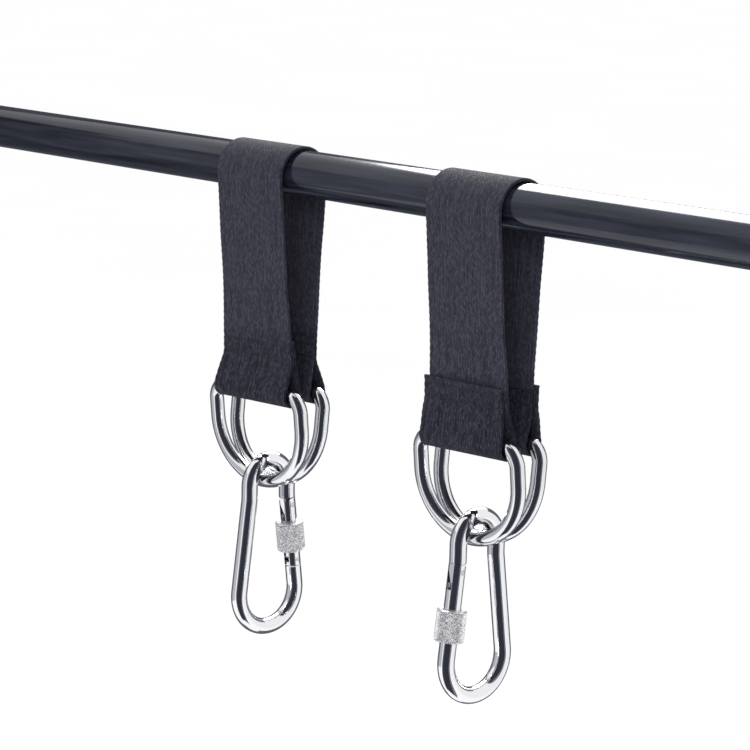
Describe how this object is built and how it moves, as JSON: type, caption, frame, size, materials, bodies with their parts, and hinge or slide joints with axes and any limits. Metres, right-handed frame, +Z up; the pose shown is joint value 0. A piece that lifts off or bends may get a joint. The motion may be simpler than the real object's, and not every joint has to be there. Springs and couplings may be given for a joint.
{
  "type": "swing hanging strap set",
  "caption": "Pair of webbing hanging straps on a round cross bar, each with twin D-rings and a screw-lock spring hook for hanging a swing seat.",
  "frame": {"origin": "on the cross bar's axis, midway between the two straps", "axes": "+X along the bar, -Y the front, +Z up"},
  "size_m": [0.726, 0.0453, 0.2441],
  "materials": {
    "black_bar": "gloss black enamel",
    "black_plastic": "moulded satin",
    "black_webbing": "woven polyester",
    "black_thread": "bonded polyester thread",
    "ring_chrome": "polished",
    "hook_chrome": "polished",
    "pin_steel": "satin",
    "spring_steel": "drawn wire",
    "knurled_nickel": "diamond knurl, matte nickel"
  },
  "bodies": {
    "bar": {"support_bar": "black_bar", "end_plug_left": "black_plastic", "end_plug_right": "black_plastic"},
    "left_strap": {"left_webbing": "black_webbing", "left_front_seam": "black_thread", "left_back_seam": "black_thread"},
    "left_front_ring": {"left_front_ring": "ring_chrome"},
    "left_back_ring": {"left_back_ring": "ring_chrome"},
    "left_hook": {"left_hook_body": "hook_chrome", "left_hinge_pin": "pin_steel"},
    "left_gate": {"left_gate": "hook_chrome", "left_latch_pin": "pin_steel", "left_gate_spring": "spring_steel"},
    "left_plunger": {"left_plunger": "pin_steel"},
    "left_lock_sleeve": {"left_lock_sleeve": "knurled_nickel"},
    "right_strap": {"right_webbing": "black_webbing", "right_front_seam": "black_thread", "right_back_seam": "black_thread"},
    "right_front_ring": {"right_front_ring": "ring_chrome"},
    "right_back_ring": {"right_back_ring": "ring_chrome"},
    "right_hook": {"right_hook_body": "hook_chrome", "right_hinge_pin": "pin_steel", "right_gate": "hook_chrome", "right_latch_pin": "pin_steel", "right_gate_spring": "spring_steel", "right_plunger": "pin_steel"},
    "right_lock_sleeve": {"right_lock_sleeve": "knurled_nickel"}
  },
  "joints": [
    {"name": "left_strap_swing", "type": "hinge", "parent": "bar", "child": "left_strap", "pos_m": [-0.0745, 0, 0], "axis": [1, 0, 0], "range_deg": [-60, 60]},
    {"name": "left_front_ring_swing", "type": "hinge", "parent": "left_strap", "child": "left_front_ring", "pos_m": [-0.07377, -0.00837, -0.107], "axis": [0.9962, 0.0872, 0], "range_deg": [0, 18]},
    {"name": "left_back_ring_swing", "type": "hinge", "parent": "left_strap", "child": "left_back_ring", "pos_m": [-0.07523, 0.00837, -0.107], "axis": [0.9962, 0.0872, 0], "range_deg": [0, 18]},
    {"name": "left_hook_swing", "type": "hinge", "parent": "left_front_ring", "child": "left_hook", "pos_m": [-0.0745, 0, -0.15492], "axis": [1, 0, 0], "range_deg": [-75, 75]},
    {"name": "left_gate_swing", "type": "hinge", "parent": "left_hook", "child": "left_gate", "pos_m": [-0.0745, 0.01244, -0.16696], "axis": [-1, 0, 0], "range_deg": [0, 25], "stiffness_Nm_per_rad": 0.15, "springref_deg": -20.05},
    {"name": "left_plunger_slide", "type": "slide", "parent": "left_gate", "child": "left_plunger", "axis": [0, 0.1259, -0.992], "range_m": [0, 0.0008], "deforming": ["left_gate_spring"]},
    {"name": "left_lock_sleeve_travel", "type": "slide", "parent": "left_gate", "child": "left_lock_sleeve", "axis": [0, 0.1259, -0.992], "range_m": [0, 0.0086]},
    {"name": "right_strap_swing", "type": "hinge", "parent": "bar", "child": "right_strap", "pos_m": [0.0745, 0, 0], "axis": [1, 0, 0], "range_deg": [-60, 60]},
    {"name": "right_front_ring_swing", "type": "hinge", "parent": "right_strap", "child": "right_front_ring", "pos_m": [0.07523, -0.00837, -0.107], "axis": [0.9962, 0.0872, 0], "range_deg": [0, 18]},
    {"name": "right_back_ring_swing", "type": "hinge", "parent": "right_strap", "child": "right_back_ring", "pos_m": [0.07377, 0.00837, -0.107], "axis": [0.9962, 0.0872, 0], "range_deg": [0, 18]},
    {"name": "right_hook_swing", "type": "hinge", "parent": "right_front_ring", "child": "right_hook", "pos_m": [0.0745, 0, -0.15492], "axis": [1, 0, 0], "range_deg": [-75, 75]},
    {"name": "right_lock_sleeve_travel", "type": "slide", "parent": "right_hook", "child": "right_lock_sleeve", "axis": [0, 0.1259, 0.992], "range_m": [0, 0.0086]}
  ],
  "couplings": [
    {"joint": "left_back_ring_swing", "follows": "left_front_ring_swing", "ratio": 1},
    {"joint": "left_plunger_slide", "follows": "left_gate_swing", "m_per_rad": 0.0018},
    {"joint": "right_back_ring_swing", "follows": "right_front_ring_swing", "ratio": 1}
  ]
}
